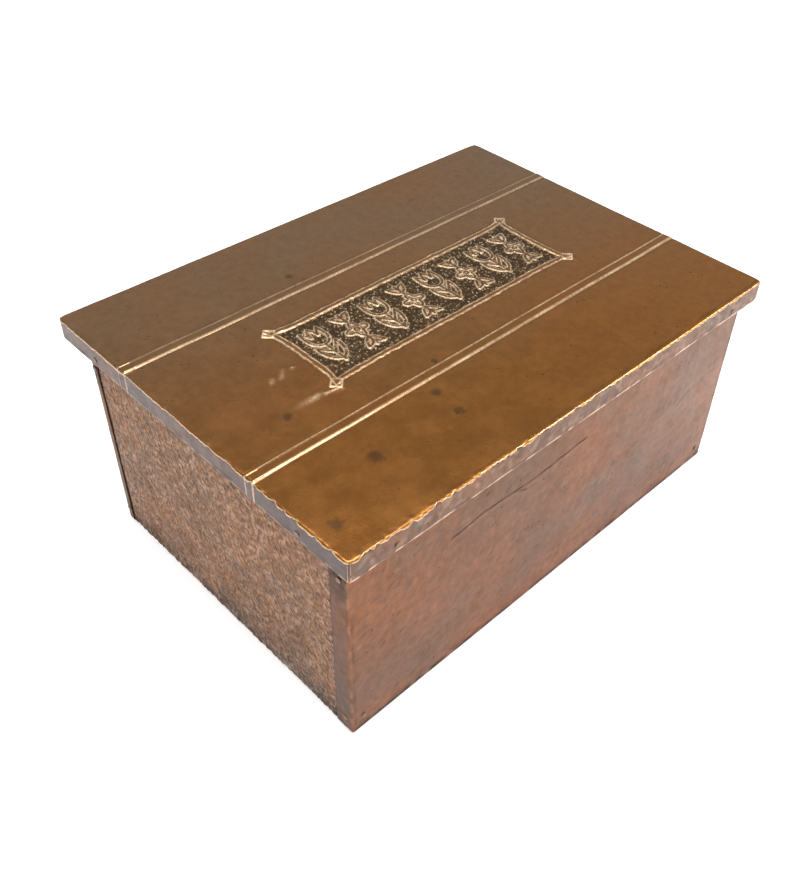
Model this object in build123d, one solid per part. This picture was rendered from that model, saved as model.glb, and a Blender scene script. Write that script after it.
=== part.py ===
from build123d import *
import os

# A lidded storage box for slippers: a nailed pine carcass clad in beaten copper sheet, with a copper-clad lid
# that swings on two brass butt hinges. Millimetres. The origin is on the floor below the centre of the lid.
# +X runs to the right along the front, +Y to the hinged back, +Z up.

# Driving sizes
LID_LENGTH = 432.0       # 17 in
LID_DEPTH = 318.0        # 12 1/2 in
LID_TOP = 190.0          # height of the lid's flat top, 7 1/2 in
LID_EDGE = 18.0          # height of the lid's turned-down copper edge
OVERHANG_SIDE = 6.0
OVERHANG_FRONT = 10.0
OVERHANG_BACK = 26.0
SHEET = 0.8              # copper sheet
WALL = 12.0              # wall boards
FLOOR_BOARD = 10.0
RIM_GAP = 0.2            # between the closed lid and the rim

# Copper work
FRONT_LAP = 16.0         # the front sheet turns round the corners onto the end sheets
BACK_LAP = 7.0
BEND = 1.5               # outside radius of a folded corner
LID_CORNER = 2.5
LID_FLANGE = 14.0        # turned under the lid
FLANGE_STOP = 0.8        # a rim flange stops this far short of the wall's inner face
BAND_WIDTH = 9.0
BAND_HEIGHT = 1.0        # of the two raised bands over the lid
BAND_SIDE = 0.8          # how far they stand out of the lid's ends
BAND_Y = (-67.0, 75.0)
PANEL_X = 3.5            # centre of the embossed panel
PANEL_Y = 4.5
PANEL_LENGTH = 238.0
PANEL_WIDTH = 66.0
PANEL_RIM = 4.0
PANEL_HEIGHT = 0.8
LUG = 9.0                # side of the square lug at each corner of the panel

# Hinges
HINGE_X = (-135.0, 135.0)
LEAF_LENGTH = 50.0
LEAF = 1.6
LEAF_REACH = 11.6        # from the knuckles to the leaf's far edge
KNUCKLE_R = 3.0
KNUCKLES = 5
PIN_R = 1.2
PIN_HEAD_R = 1.9
PIN_HEAD = 0.8
RUNNING = 0.06           # radial clearance of the pin
SIDE_PLAY = 0.3          # knuckle ends, and leaves past the other leaf's knuckles

# Battens and fasteners
BATTEN_WIDTH = 28.0
BATTEN = 10.0
BATTEN_X = 165.0
BATTEN_Y = (-122.0, 108.0)
NAIL_R = 1.0
NAIL_HEAD_R = 2.2
NAIL_LENGTH = 30.0
SCREW_R = 1.2
SCREW_HEAD_R = 2.4
SLOT = 0.5
TACK_R = 0.7
TACK_HEAD_R = 2.1
TACK_HEAD = 0.7
TACK_LENGTH = 9.0
SNUG = 0.02              # radial room round a nail, a screw or a tack

# Worked out from the driving sizes
HALF_LID_X = LID_LENGTH / 2
HALF_LID_Y = LID_DEPTH / 2
BODY_X = HALF_LID_X - OVERHANG_SIDE          # outer face of the laps
FRONT_Y = -HALF_LID_Y + OVERHANG_FRONT
BACK_Y = HALF_LID_Y - OVERHANG_BACK
LID_BOTTOM = LID_TOP - LID_EDGE
RIM = LID_BOTTOM - RIM_GAP
WOOD_X = BODY_X - 2 * SHEET                  # the end sheet and the lap lie over the wood
WOOD_FRONT = FRONT_Y + SHEET
WOOD_BACK = BACK_Y - SHEET
WOOD_TOP = RIM - SHEET
INNER_X = WOOD_X - WALL
INNER_FRONT = WOOD_FRONT + WALL
INNER_BACK = WOOD_BACK - WALL
WALL_BOTTOM = SHEET + FLOOR_BOARD
AXIS_Z = (LID_BOTTOM + RIM) / 2
AXIS_Y = BACK_Y + KNUCKLE_R + SIDE_PLAY
BOX_LEAF_TOP = RIM - RIM_GAP / 2
LID_LEAF_BOTTOM = LID_BOTTOM + RIM_GAP / 2
KNUCKLE_LENGTH = LEAF_LENGTH / KNUCKLES
LID_BOARD_BOTTOM = LID_BOTTOM + SHEET


def block(x0, x1, y0, y1, z0, z1):
    """A box between two corners."""
    middle = Pos((x0 + x1) / 2, (y0 + y1) / 2, (z0 + z1) / 2)
    return middle * Box(x1 - x0, y1 - y0, z1 - z0)


def rod(start, direction, radius, length):
    """A cylinder from start along direction."""
    return extrude(Plane(start, z_dir=direction) * Circle(radius), length)


def joined(solids):
    """The union of a list of solids."""
    total = solids[0]
    for solid in solids[1:]:
        total = total + solid
    return total


# Fasteners: each maker returns the piece, and with room > 0 the slightly larger shape of its hole

def nail(start, direction, room=0.0):
    head = rod(start, direction, NAIL_HEAD_R + room, 1.0)
    return head + rod(start, direction, NAIL_R + room, NAIL_LENGTH + room)


def screw(start, direction, length, room=0.0):
    plane = Plane(start, z_dir=direction)
    depth = SCREW_HEAD_R - SCREW_R
    head = extrude(plane * Circle(SCREW_HEAD_R + room), depth, taper=45)
    body = head + extrude(plane * Circle(SCREW_R + room), length + room)
    if room > 0:
        return body
    return body - extrude(plane * Rectangle(SLOT, 3 * SCREW_HEAD_R), depth / 2)


def tack(start, outward, room=0.0):
    """A tack whose head stands out of the face at start."""
    inward = (-outward[0], -outward[1], -outward[2])
    shank = rod(start, inward, TACK_R + room, TACK_LENGTH + room)
    if room > 0:
        return shank
    head = rod(start, outward, TACK_HEAD_R, TACK_HEAD)
    rim = head.faces().sort_by(lambda face: face.center().dot(Vector(*outward)))[-1].edges()
    return fillet(rim, TACK_HEAD * 0.6) + shank


CARCASS_NAILS = [
    ((side * (WOOD_X - WALL / 2), start, z), (0, direction, 0))
    for side in (-1, 1)
    for start, direction in ((WOOD_FRONT, 1), (WOOD_BACK, -1))
    for z in (30, 70, 110, 150)
]

BOTTOM_NAILS = [
    ((x, y, SHEET), (0, 0, 1))
    for y in (WOOD_FRONT + WALL / 2, WOOD_BACK - WALL / 2)
    for x in (-180, -60, 60, 180)
] + [
    ((side * (WOOD_X - WALL / 2), y, SHEET), (0, 0, 1))
    for side in (-1, 1)
    for y in (-80, 70)
]

BOX_LEAF_SCREWS = [(x + dx, BACK_Y - LEAF_REACH / 2, BOX_LEAF_TOP) for x in HINGE_X for dx in (-18, 0, 18)]
LID_LEAF_SCREWS = [(x, y, LID_LEAF_BOTTOM) for x, y, z in BOX_LEAF_SCREWS]
BATTEN_SCREWS = [
    (side * BATTEN_X, y, LID_BOARD_BOTTOM - BATTEN)
    for side in (-1, 1)
    for y in (-105, -35, 35, 92)
]
LEAF_SCREW_LENGTH = 9.0
BATTEN_SCREW_LENGTH = 20.0

LEFT = (-1, 0, 0)
RIGHT = (1, 0, 0)
FORWARD = (0, -1, 0)
REAR = (0, 1, 0)
TACK_LOW = 13.0
TACK_HIGH = 158.0
BODY_TACKS = [
    ((side * BODY_X, y, z), direction)
    for side, direction in ((-1, LEFT), (1, RIGHT))
    for y in (FRONT_Y + 7, BACK_Y - 3.5)
    for z in (TACK_LOW, TACK_HIGH)
] + [
    ((side * (BODY_X - SHEET), FRONT_Y + FRONT_LAP + 2.5, TACK_HIGH + 3), direction)
    for side, direction in ((-1, LEFT), (1, RIGHT))
] + [
    ((side * (BODY_X - 10), y, TACK_LOW), direction)
    for side in (-1, 1)
    for y, direction in ((FRONT_Y, FORWARD), (BACK_Y, REAR))
]

LID_TACKS_X = 178.0
LID_TACKS_Y = 112.0
LID_TACK_Z = LID_BOTTOM + LID_EDGE / 3
LID_TACK_SET = 0.6       # the heads are beaten this far into the lid's edge
LID_TACKS = [
    ((side * LID_TACKS_X, y, LID_TACK_Z), direction)
    for side in (-1, 1)
    for y, direction in ((-HALF_LID_Y + LID_TACK_SET, FORWARD), (HALF_LID_Y - LID_TACK_SET, REAR))
] + [
    ((side * (HALF_LID_X - LID_TACK_SET), y, LID_TACK_Z), direction)
    for side, direction in ((-1, LEFT), (1, RIGHT))
    for y in (-LID_TACKS_Y, LID_TACKS_Y)
]


def holes(solid, cutters):
    """The solid with each cutter that reaches it taken out."""
    for cutter in cutters:
        solid = solid - cutter
    return solid


def carcass_holes():
    cutters = [nail(start, direction, SNUG) for start, direction in CARCASS_NAILS + BOTTOM_NAILS]
    return cutters + [tack(start, outward, SNUG) for start, outward in BODY_TACKS]


# The carcass

def hinge_recess(x):
    """The housing of a box leaf in the back wall's top and in the copper over it."""
    return block(x - LEAF_LENGTH / 2, x + LEAF_LENGTH / 2, BACK_Y - LEAF_REACH, BACK_Y + 1,
                 BOX_LEAF_TOP - LEAF, RIM + 1)


def long_wall(y0, y1):
    """The front or back board, which runs over the ends of the end boards."""
    wall = block(-WOOD_X, WOOD_X, y0, y1, WALL_BOTTOM, WOOD_TOP)
    outer_y = y0 if abs(y0) > abs(y1) else y1
    corners = wall.edges().filter_by(Axis.Z).filter_by(lambda edge: abs(edge.center().Y - outer_y) < 0.1)
    return fillet(corners, BEND - SHEET)


def front_board():
    return holes(long_wall(WOOD_FRONT, INNER_FRONT), carcass_holes())


def back_board():
    board = holes(long_wall(INNER_BACK, WOOD_BACK), carcass_holes())
    board = holes(board, [hinge_recess(x) for x in HINGE_X])
    return holes(board, [screw(p, (0, 0, -1), LEAF_SCREW_LENGTH, SNUG) for p in BOX_LEAF_SCREWS])


def end_board(side):
    inner, outer = sorted((side * INNER_X, side * WOOD_X))
    board = block(inner, outer, INNER_FRONT, INNER_BACK, WALL_BOTTOM, WOOD_TOP)
    return holes(board, carcass_holes())


def bottom_board():
    board = block(-WOOD_X, WOOD_X, WOOD_FRONT, WOOD_BACK, SHEET, WALL_BOTTOM)
    board = fillet(board.edges().filter_by(Axis.Z), BEND - SHEET)
    return holes(board, carcass_holes())


# The copper cladding of the carcass

def long_sheet(outer_y, lap):
    """The front or back sheet, turned round both corners, over the rim and under the bottom."""
    inward = 1 if outer_y < 0 else -1
    y0, y1 = sorted((outer_y, outer_y + inward * lap))
    shell = block(-BODY_X, BODY_X, y0, y1, 0, RIM)
    corners = shell.edges().filter_by(Axis.Z).filter_by(lambda edge: abs(edge.center().Y - outer_y) < 0.1)
    shell = fillet(corners, BEND)
    y0, y1 = sorted((outer_y + inward * SHEET, outer_y + inward * (lap + 1)))
    inside = block(-BODY_X + SHEET, BODY_X - SHEET, y0, y1, SHEET, WOOD_TOP)
    corners = inside.edges().filter_by(Axis.Z).filter_by(
        lambda edge: abs(edge.center().Y - outer_y - inward * SHEET) < 0.1)
    shell = shell - fillet(corners, BEND - SHEET)
    flange = WALL + SHEET - FLANGE_STOP
    if lap <= flange:
        return shell
    y0, y1 = sorted((outer_y + inward * flange, outer_y + inward * (lap + 1)))
    return shell - block(-INNER_X, INNER_X, y0, y1, WOOD_TOP - 1, RIM + 1)


def tack_holes():
    return [tack(start, outward, SNUG) for start, outward in BODY_TACKS]


def front_sheet():
    return holes(long_sheet(FRONT_Y, FRONT_LAP), tack_holes())


def back_sheet():
    sheet = holes(long_sheet(BACK_Y, BACK_LAP), tack_holes())
    return holes(sheet, [hinge_recess(x) for x in HINGE_X])


def end_sheet(side):
    """An end sheet, whose edges lie under the laps of the front and back sheets."""
    outer = side * (BODY_X - SHEET)
    x0, x1 = sorted((outer, side * (INNER_X + FLANGE_STOP)))
    slack = BEND - SHEET + 0.1
    shell = block(x0, x1, WOOD_FRONT + slack, WOOD_BACK - slack, 0, RIM)
    x0, x1 = sorted((outer - side * SHEET, side * (INNER_X - 1)))
    shell = shell - block(x0, x1, WOOD_FRONT, WOOD_BACK, SHEET, WOOD_TOP)
    shell = shell - block(-BODY_X, BODY_X, FRONT_Y, FRONT_Y + FRONT_LAP, WOOD_TOP, RIM)
    shell = shell - block(-BODY_X, BODY_X, FRONT_Y, FRONT_Y + FRONT_LAP, 0, SHEET)
    shell = shell - block(-BODY_X, BODY_X, BACK_Y - BACK_LAP, BACK_Y, WOOD_TOP, RIM)
    shell = shell - block(-BODY_X, BODY_X, BACK_Y - BACK_LAP, BACK_Y, 0, SHEET)
    return holes(shell, tack_holes())


# The lid

def lid_blank(grow, bottom, top, corner):
    """A plate of the lid's plan, grown by grow, with rounded corners."""
    plate = block(-HALF_LID_X - grow, HALF_LID_X + grow, -HALF_LID_Y - grow, HALF_LID_Y + grow, bottom, top)
    return fillet(plate.edges().filter_by(Axis.Z), corner)


def lid_core():
    return lid_blank(-SHEET, LID_BOARD_BOTTOM, LID_TOP - SHEET, LID_CORNER - SHEET)


def lid_tack_holes():
    return [tack(start, outward, SNUG) for start, outward in LID_TACKS]


def lid_board(y0, y1):
    """One of the two boards of the lid, housed for the hinges and bored for the screws and tacks."""
    slab = block(-LID_LENGTH, LID_LENGTH, y0, y1, 0, 2 * LID_TOP)
    board = holes(lid_core() & slab, lid_tack_holes())
    screws = [screw(p, (0, 0, 1), BATTEN_SCREW_LENGTH, SNUG) for p in BATTEN_SCREWS]
    screws = screws + [screw(p, (0, 0, 1), LEAF_SCREW_LENGTH, SNUG) for p in LID_LEAF_SCREWS]
    board = holes(board, screws)
    for x in HINGE_X:
        half = LEAF_LENGTH / 2
        board = board - block(x - half, x + half, BACK_Y - LEAF_REACH, BACK_Y,
                              0, LID_LEAF_BOTTOM + LEAF)
        half = LEAF_LENGTH / 2 + PIN_HEAD + 1
        reach = KNUCKLE_R + 0.5
        board = board - block(x - half, x + half, BACK_Y, AXIS_Y + reach, 0, AXIS_Z + reach)
    return board


def lid_sheet():
    """The lid's copper, raised in two bands and a framed panel, and turned down and under all round."""
    outer = lid_blank(0, LID_BOTTOM, LID_TOP, LID_CORNER)
    sheet = outer - lid_core()
    sheet = sheet - block(-HALF_LID_X + LID_FLANGE, HALF_LID_X - LID_FLANGE,
                          -HALF_LID_Y + LID_FLANGE, HALF_LID_Y - LID_FLANGE, LID_BOTTOM, LID_BOARD_BOTTOM)
    for y in BAND_Y:
        strap = block(-HALF_LID_X - BAND_SIDE, HALF_LID_X + BAND_SIDE,
                      y - BAND_WIDTH / 2, y + BAND_WIDTH / 2, LID_BOTTOM, LID_TOP + BAND_HEIGHT)
        sheet = sheet + (strap - block(-HALF_LID_X, HALF_LID_X, -HALF_LID_Y, HALF_LID_Y, LID_BOTTOM, LID_TOP))
    sheet = sheet + panel_frame()
    return holes(sheet, [rod(start, outward, TACK_HEAD_R + SNUG, 1) for start, outward in LID_TACKS]
                 + lid_tack_holes())


def panel_frame():
    """The raised frame of the embossed panel, with a square lug set cornerwise at each corner."""
    base = Plane((PANEL_X, PANEL_Y, LID_TOP - SHEET / 4))
    ring = Rectangle(PANEL_LENGTH, PANEL_WIDTH)
    ring = ring - Rectangle(PANEL_LENGTH - 2 * PANEL_RIM, PANEL_WIDTH - 2 * PANEL_RIM)
    for x in (-1, 1):
        for y in (-1, 1):
            ring = ring + Pos(x * PANEL_LENGTH / 2, y * PANEL_WIDTH / 2) * Rot(0, 0, 45) * Rectangle(LUG, LUG)
    return extrude(base * ring, PANEL_HEIGHT + SHEET / 4)


def lid_batten(side):
    batten = block(side * BATTEN_X - BATTEN_WIDTH / 2, side * BATTEN_X + BATTEN_WIDTH / 2,
                   BATTEN_Y[0], BATTEN_Y[1], LID_BOARD_BOTTOM - BATTEN, LID_BOARD_BOTTOM)
    batten = chamfer(batten.faces().sort_by(Axis.Z)[0].edges(), 1.5)
    return holes(batten, [screw(p, (0, 0, 1), BATTEN_SCREW_LENGTH, SNUG) for p in BATTEN_SCREWS])


# The hinges

def hinge_leaf(x, z0, owner):
    """One leaf: the plate from z0 up, and every second knuckle, starting at owner (0 for the box's leaf)."""
    left = x - LEAF_LENGTH / 2
    plate = block(left, left + LEAF_LENGTH, BACK_Y - LEAF_REACH, BACK_Y, z0, z0 + LEAF)
    leaf = plate
    for index in range(owner, KNUCKLES, 2):
        start = left + index * KNUCKLE_LENGTH + (SIDE_PLAY / 2 if index > 0 else 0)
        end = left + (index + 1) * KNUCKLE_LENGTH - (SIDE_PLAY / 2 if index < KNUCKLES - 1 else 0)
        leaf = leaf + block(start, end, BACK_Y, AXIS_Y, z0, z0 + LEAF)
        leaf = leaf + rod((start, AXIS_Y, AXIS_Z), RIGHT, KNUCKLE_R, end - start)
    leaf = leaf - rod((left - 1, AXIS_Y, AXIS_Z), RIGHT, PIN_R + RUNNING, LEAF_LENGTH + 2)
    if owner == 0:
        return holes(leaf, [screw(p, (0, 0, -1), LEAF_SCREW_LENGTH, SNUG) for p in BOX_LEAF_SCREWS])
    return holes(leaf, [screw(p, (0, 0, 1), LEAF_SCREW_LENGTH, SNUG) for p in LID_LEAF_SCREWS])


def hinge_pin(x):
    left = x - LEAF_LENGTH / 2
    pin = rod((left - 0.1, AXIS_Y, AXIS_Z), RIGHT, PIN_R, LEAF_LENGTH + 0.2)
    for start, direction in ((left - 0.1, LEFT), (left + LEAF_LENGTH + 0.1, RIGHT)):
        head = rod((start, AXIS_Y, AXIS_Z), direction, PIN_HEAD_R, PIN_HEAD)
        pin = pin + fillet(head.faces().sort_by(lambda face: face.center().X * direction[0])[-1].edges(), 0.4)
    return pin


parts = {
    "front_board": front_board(),
    "back_board": back_board(),
    "left_end_board": end_board(-1),
    "right_end_board": end_board(1),
    "bottom_board": bottom_board(),
    "front_copper_sheet": front_sheet(),
    "back_copper_sheet": back_sheet(),
    "left_copper_sheet": end_sheet(-1),
    "right_copper_sheet": end_sheet(1),
    "carcass_nails": Compound([nail(*place) for place in CARCASS_NAILS]),
    "bottom_nails": Compound([nail(*place) for place in BOTTOM_NAILS]),
    "body_copper_tacks": Compound([tack(*place) for place in BODY_TACKS]),
    "box_leaf_screws": Compound([screw(p, (0, 0, -1), LEAF_SCREW_LENGTH) for p in BOX_LEAF_SCREWS]),
    "lid_board_front": lid_board(-LID_DEPTH, -0.05),
    "lid_board_rear": lid_board(0.05, LID_DEPTH),
    "lid_batten_left": lid_batten(-1),
    "lid_batten_right": lid_batten(1),
    "batten_screws": Compound([screw(p, (0, 0, 1), BATTEN_SCREW_LENGTH) for p in BATTEN_SCREWS]),
    "lid_copper_sheet": lid_sheet(),
    "lid_copper_tacks": Compound([tack(*place) for place in LID_TACKS]),
    "lid_leaf_screws": Compound([screw(p, (0, 0, 1), LEAF_SCREW_LENGTH) for p in LID_LEAF_SCREWS]),
}
for side_name, hinge_x in zip(("left", "right"), HINGE_X):
    parts[f"hinge_{side_name}_box_leaf"] = hinge_leaf(hinge_x, BOX_LEAF_TOP - LEAF, 0)
    parts[f"hinge_{side_name}_lid_leaf"] = hinge_leaf(hinge_x, LID_LEAF_BOTTOM, 1)
    parts[f"hinge_{side_name}_pin"] = hinge_pin(hinge_x)

os.makedirs("parts", exist_ok=True)
for name, shape in parts.items():
    export_step(shape, f"parts/{name}.step")
print(len(parts), "nodes; inside", 2 * INNER_X, "x", INNER_BACK - INNER_FRONT, "x", WOOD_TOP - WALL_BOTTOM, "mm")
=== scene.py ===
# %% [markdown]
# # A copper-clad slipper box
#
# The object is a low pine box, covered all over in beaten copper sheet, with a lid that swings on
# two butt hinges. The boards, nails, screws, tacks and hinges come from the CAD model and only get
# materials here. The copper is beaten work: every square centimetre of it is uneven, so the sheets
# are modelled again, in the same places.

# %% Load the CAD model
import math

import bmesh
import bpy
import numpy as np
from mathutils import Matrix, Vector, kdtree, noise


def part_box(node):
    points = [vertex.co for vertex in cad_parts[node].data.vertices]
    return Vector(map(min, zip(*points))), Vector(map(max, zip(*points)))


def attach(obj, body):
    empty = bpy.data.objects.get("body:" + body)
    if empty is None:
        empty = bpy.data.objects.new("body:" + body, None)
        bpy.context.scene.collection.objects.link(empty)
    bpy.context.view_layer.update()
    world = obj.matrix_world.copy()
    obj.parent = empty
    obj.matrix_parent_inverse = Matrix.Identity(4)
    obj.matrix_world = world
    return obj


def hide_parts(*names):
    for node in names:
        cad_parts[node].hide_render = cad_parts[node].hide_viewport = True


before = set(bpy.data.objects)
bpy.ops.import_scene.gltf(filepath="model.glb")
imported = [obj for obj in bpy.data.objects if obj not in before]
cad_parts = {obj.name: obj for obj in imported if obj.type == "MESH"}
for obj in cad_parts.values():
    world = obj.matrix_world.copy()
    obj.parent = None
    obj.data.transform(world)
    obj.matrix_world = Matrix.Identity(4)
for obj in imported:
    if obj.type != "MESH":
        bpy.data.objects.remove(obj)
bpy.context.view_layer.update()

MM = 0.001

# %% [markdown]
# ## The camera
#
# The box is seen from its near left corner, from a good way above. The camera is given as a place
# and three angles: which way it looks round the box, how far down it looks, and how much it leans.
# The lens is given for Blender's usual 36 mm sensor. The small shift sets the box slightly off the
# centre of the picture.

# %% Camera
CAMERA_PLACE = Vector((-0.4416, -0.4386, 0.6081))
CAMERA_HEADING = 47.54
CAMERA_DOWN = 41.74
CAMERA_LEAN = 3.37
CAMERA_LENS = 39.71
SENSOR_WIDTH = 36.0
CAMERA_SHIFT = (-0.0599, -0.0122)

heading, down = math.radians(CAMERA_HEADING), math.radians(CAMERA_DOWN)
look = Vector((math.sin(heading) * math.cos(down), math.cos(heading) * math.cos(down), -math.sin(down)))
camera = bpy.data.objects.new("camera", bpy.data.cameras.new("camera"))
bpy.context.scene.collection.objects.link(camera)
camera.location = CAMERA_PLACE
camera.rotation_euler = (look.to_track_quat("-Z", "Y").to_matrix()
                         @ Matrix.Rotation(math.radians(CAMERA_LEAN), 3, "Z")).to_euler()
camera.data.lens = CAMERA_LENS
camera.data.sensor_width = SENSOR_WIDTH
camera.data.shift_x, camera.data.shift_y = CAMERA_SHIFT
camera.data.clip_start, camera.data.clip_end = 0.01, 50.0
bpy.context.scene.camera = camera
print("camera looks along", tuple(round(c, 3) for c in look))

# %% [markdown]
# ## Floor and light
#
# Beaten metal shows what stands round it, so the light matters as much as the material. A white
# floor lights the walls of the box from below, a large soft lamp hangs overhead, and the sky round
# it is darker at the height that the flat lid reflects. That is why the lid looks deeper in colour
# than the walls.

# %% Helpers for node trees
def new_material(name):
    """An empty material whose nodes are still to be placed."""
    material = bpy.data.materials.new(name)
    material.use_nodes = True
    material.node_tree.nodes.clear()
    return material


def connect(tree, socket, value):
    """Links a socket to an input, or sets the input to a plain value."""
    if isinstance(value, bpy.types.NodeSocket):
        tree.links.new(value, socket)
    else:
        socket.default_value = value


def add(tree, kind, inputs=None, **settings):
    """A node of a kind, with its settings, and its inputs given as plain values or as sockets."""
    node = tree.nodes.new(kind)
    for name, value in settings.items():
        setattr(node, name, value)
    for name, value in (inputs or {}).items():
        connect(tree, node.inputs[name], value)
    return node


def surface(tree, inputs):
    """A Principled shader with its inputs, joined to the material's output."""
    shader = add(tree, "ShaderNodeBsdfPrincipled", inputs)
    add(tree, "ShaderNodeOutputMaterial", {"Surface": shader.outputs["BSDF"]})


def new_object(name, data):
    """An object of the scene that holds a mesh or a lamp."""
    thing = bpy.data.objects.new(name, data)
    bpy.context.scene.collection.objects.link(thing)
    return thing

# %% Floor
FLOOR_HALF = 6.0
floor_material = new_material("pale_floor")
surface(floor_material.node_tree,
        {"Base Color": (0.92, 0.92, 0.92, 1.0), "Roughness": 0.9, "Specular IOR Level": 0.1,
         "Emission Color": (1.0, 1.0, 1.0, 1.0), "Emission Strength": 0.3})
bm = bmesh.new()
bmesh.ops.create_grid(bm, x_segments=1, y_segments=1, size=FLOOR_HALF)
floor_mesh = bpy.data.meshes.new("floor")
bm.to_mesh(floor_mesh)
bm.free()
floor_mesh.materials.append(floor_material)
new_object("floor", floor_mesh)
print("floor", 2 * FLOOR_HALF, "m wide")

# %% Lamps
AIM = Vector((0.0, 0.0, 0.1))
LAMPS = (                # name, place, width and height in metres, power in watts
    ("overhead", (-0.1, -0.1, 1.9), (1.5, 1.5), 34.0),
    ("right_front", (1.5, -1.3, 1.3), (0.8, 0.8), 26.0),
    ("left_fill", (-1.6, -0.6, 0.9), (1.2, 0.8), 9.0))
for name, place, size, power in LAMPS:
    light = bpy.data.lights.new(name, "AREA")
    light.shape = "RECTANGLE"
    light.size, light.size_y = size
    light.energy = power
    holder = new_object(name, light)
    holder.location = place
    holder.rotation_euler = (AIM - Vector(place)).to_track_quat("-Z", "Y").to_euler()
    print("lamp", name, "of", power, "W")

# %% Sky
SKY_STRENGTH = 0.75
SKY_GREYS = ((0.1, 0.5), (0.3, 0.5), (0.52, 0.72), (0.62, 0.48), (0.76, 0.4), (0.87, 0.85))
world = bpy.data.worlds.new("studio")
bpy.context.scene.world = world
world.use_nodes = True
sky = world.node_tree
sky.nodes.clear()
direction = add(sky, "ShaderNodeTexCoord")
height = add(sky, "ShaderNodeSeparateXYZ", {"Vector": direction.outputs["Generated"]})
ramp = add(sky, "ShaderNodeValToRGB", {"Fac": height.outputs["Z"]})
ramp.color_ramp.elements[0].color = (1.0, 1.0, 1.0, 1.0)
ramp.color_ramp.elements[1].color = (0.9, 0.9, 0.9, 1.0)
for position, grey in SKY_GREYS:
    ramp.color_ramp.elements.new(position).color = (grey, grey, grey, 1.0)
background = add(sky, "ShaderNodeBackground", {"Color": ramp.outputs["Color"], "Strength": SKY_STRENGTH})
add(sky, "ShaderNodeOutputWorld", {"Surface": background.outputs["Background"]})
bpy.context.scene.view_settings.view_transform = "Standard"
print("sky of", len(ramp.color_ramp.elements), "greys")

# %% [markdown]
# ## Sizes
#
# All the work on the sheets is in millimetres, as a workshop drawing would be. The sizes of the box
# and the lid are read from the CAD model's own pieces, and only what those cannot tell is written
# here as a number.

# %% Sizes in millimetres
def node_box(name):
    """A CAD node's lowest and highest corners in millimetres."""
    low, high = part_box(name)
    return np.array(low) / MM, np.array(high) / MM


body_low, body_high = node_box("front_copper_sheet")
back_low, back_high = node_box("back_copper_sheet")
end_low = node_box("left_copper_sheet")[0]
lid_low, lid_high = node_box("lid_copper_sheet")
BODY_X = body_high[0]
FRONT_Y, BACK_Y = body_low[1], back_high[1]
RIM = body_high[2]
FRONT_LAP = body_high[1] - body_low[1]
BACK_LAP = back_high[1] - back_low[1]
END_X = -end_low[0]
LID_Y = lid_high[1]
LID_X = 216.0
LID_BOTTOM = lid_low[2]
LID_TOP = 190.0
BAND_Y = (-67.0, 75.0)
print("body", 2 * BODY_X, "x", round(BACK_Y - FRONT_Y, 1), "rim", round(RIM, 1))
print("lid", 2 * LID_X, "x", 2 * LID_Y)

# %% [markdown]
# ## Helpers for beaten sheet
#
# A coppersmith cuts a flat blank, folds it over the wood and works the surface. The helpers follow
# that order. A grid is the blank. It is folded by moving its vertices, given a hidden inner side so
# that it is a closed sheet, and then its outer vertices are pushed in or out by a height that is
# worked out for every place on it.

# %% Heights
def rough(places, size, seed=0.0):
    """Smooth random values from -1 to 1 at an array of places, with features of about size."""
    shift = Vector((seed, seed * 1.7, seed * 2.3))
    return np.array([noise.noise(Vector(p) / size + shift) for p in places])


def cells(places, size, seed=0.0):
    """Distance to the nearest and the next nearest of random points about size apart, in units of size."""
    shift = Vector((seed, seed * 1.7, seed * 2.3))
    found = [noise.voronoi(Vector(p) / size + shift)[0] for p in places]
    return np.array([f[0] for f in found]), np.array([f[1] for f in found])


def ease(value):
    """0 below 0, 1 above 1 and a smooth step between."""
    value = np.clip(value, 0.0, 1.0)
    return value * value * (3 - 2 * value)


def ridge(distance, width):
    """A rounded line: 1 on it, falling off over width."""
    return np.exp(-(distance / width) ** 2)


def raised_strip(distance, half, height, lip, edge=0.7):
    """A flat raised strip with a crisp lip along each edge, from the distance to its middle line."""
    return height * ease((half + edge / 2 - distance) / edge) + lip * ridge(distance - half + edge / 2, 0.5)


print("a ridge 1 mm wide is", round(float(ridge(0.5, 1.0)), 2), "high half a millimetre off its line")

# %% Blanks
def grid(columns, rows):
    """A bmesh grid whose columns and rows stand at the given places, with 0 for height."""
    blank = bmesh.new()
    bmesh.ops.create_grid(blank, x_segments=len(columns) - 1, y_segments=len(rows) - 1, size=0.5)
    for v in blank.verts:
        column = round((v.co.x + 0.5) * (len(columns) - 1))
        row = round((v.co.y + 0.5) * (len(rows) - 1))
        v.co = (columns[column], rows[row], 0.0)
    return blank


def line_up(start, end, step, keep=()):
    """Evenly spaced places from start to end, with the nearest ones moved onto the places to keep."""
    places = np.linspace(start, end, max(2, round((end - start) / step) + 1))
    for k in keep:
        places[np.argmin(abs(places - k))] = k
    return list(places)


def face_outwards(blank, axis, side):
    """Turns an open blank's faces so that its face looks to one side."""
    bmesh.ops.recalc_face_normals(blank, faces=blank.faces)
    outermost = max(blank.faces, key=lambda f: f.calc_center_median()[axis] * side)
    if outermost.normal[axis] * side < 0:
        bmesh.ops.reverse_faces(blank, faces=blank.faces)

# %% Closing a sheet
FLAT = 0.99999           # how near its axis the normal of a flat face is
FEW = 40                 # so few flat faces are left as they are


def loops_of(edges):
    """Sorts edges into the closed loops that they make."""
    left, loops = set(edges), []
    while left:
        run = [left.pop()]
        for e in run:
            for near in {n for v in e.verts for n in v.link_edges} & left:
                left.discard(near)
                run.append(near)
        loops.append(run)
    return loops


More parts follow.
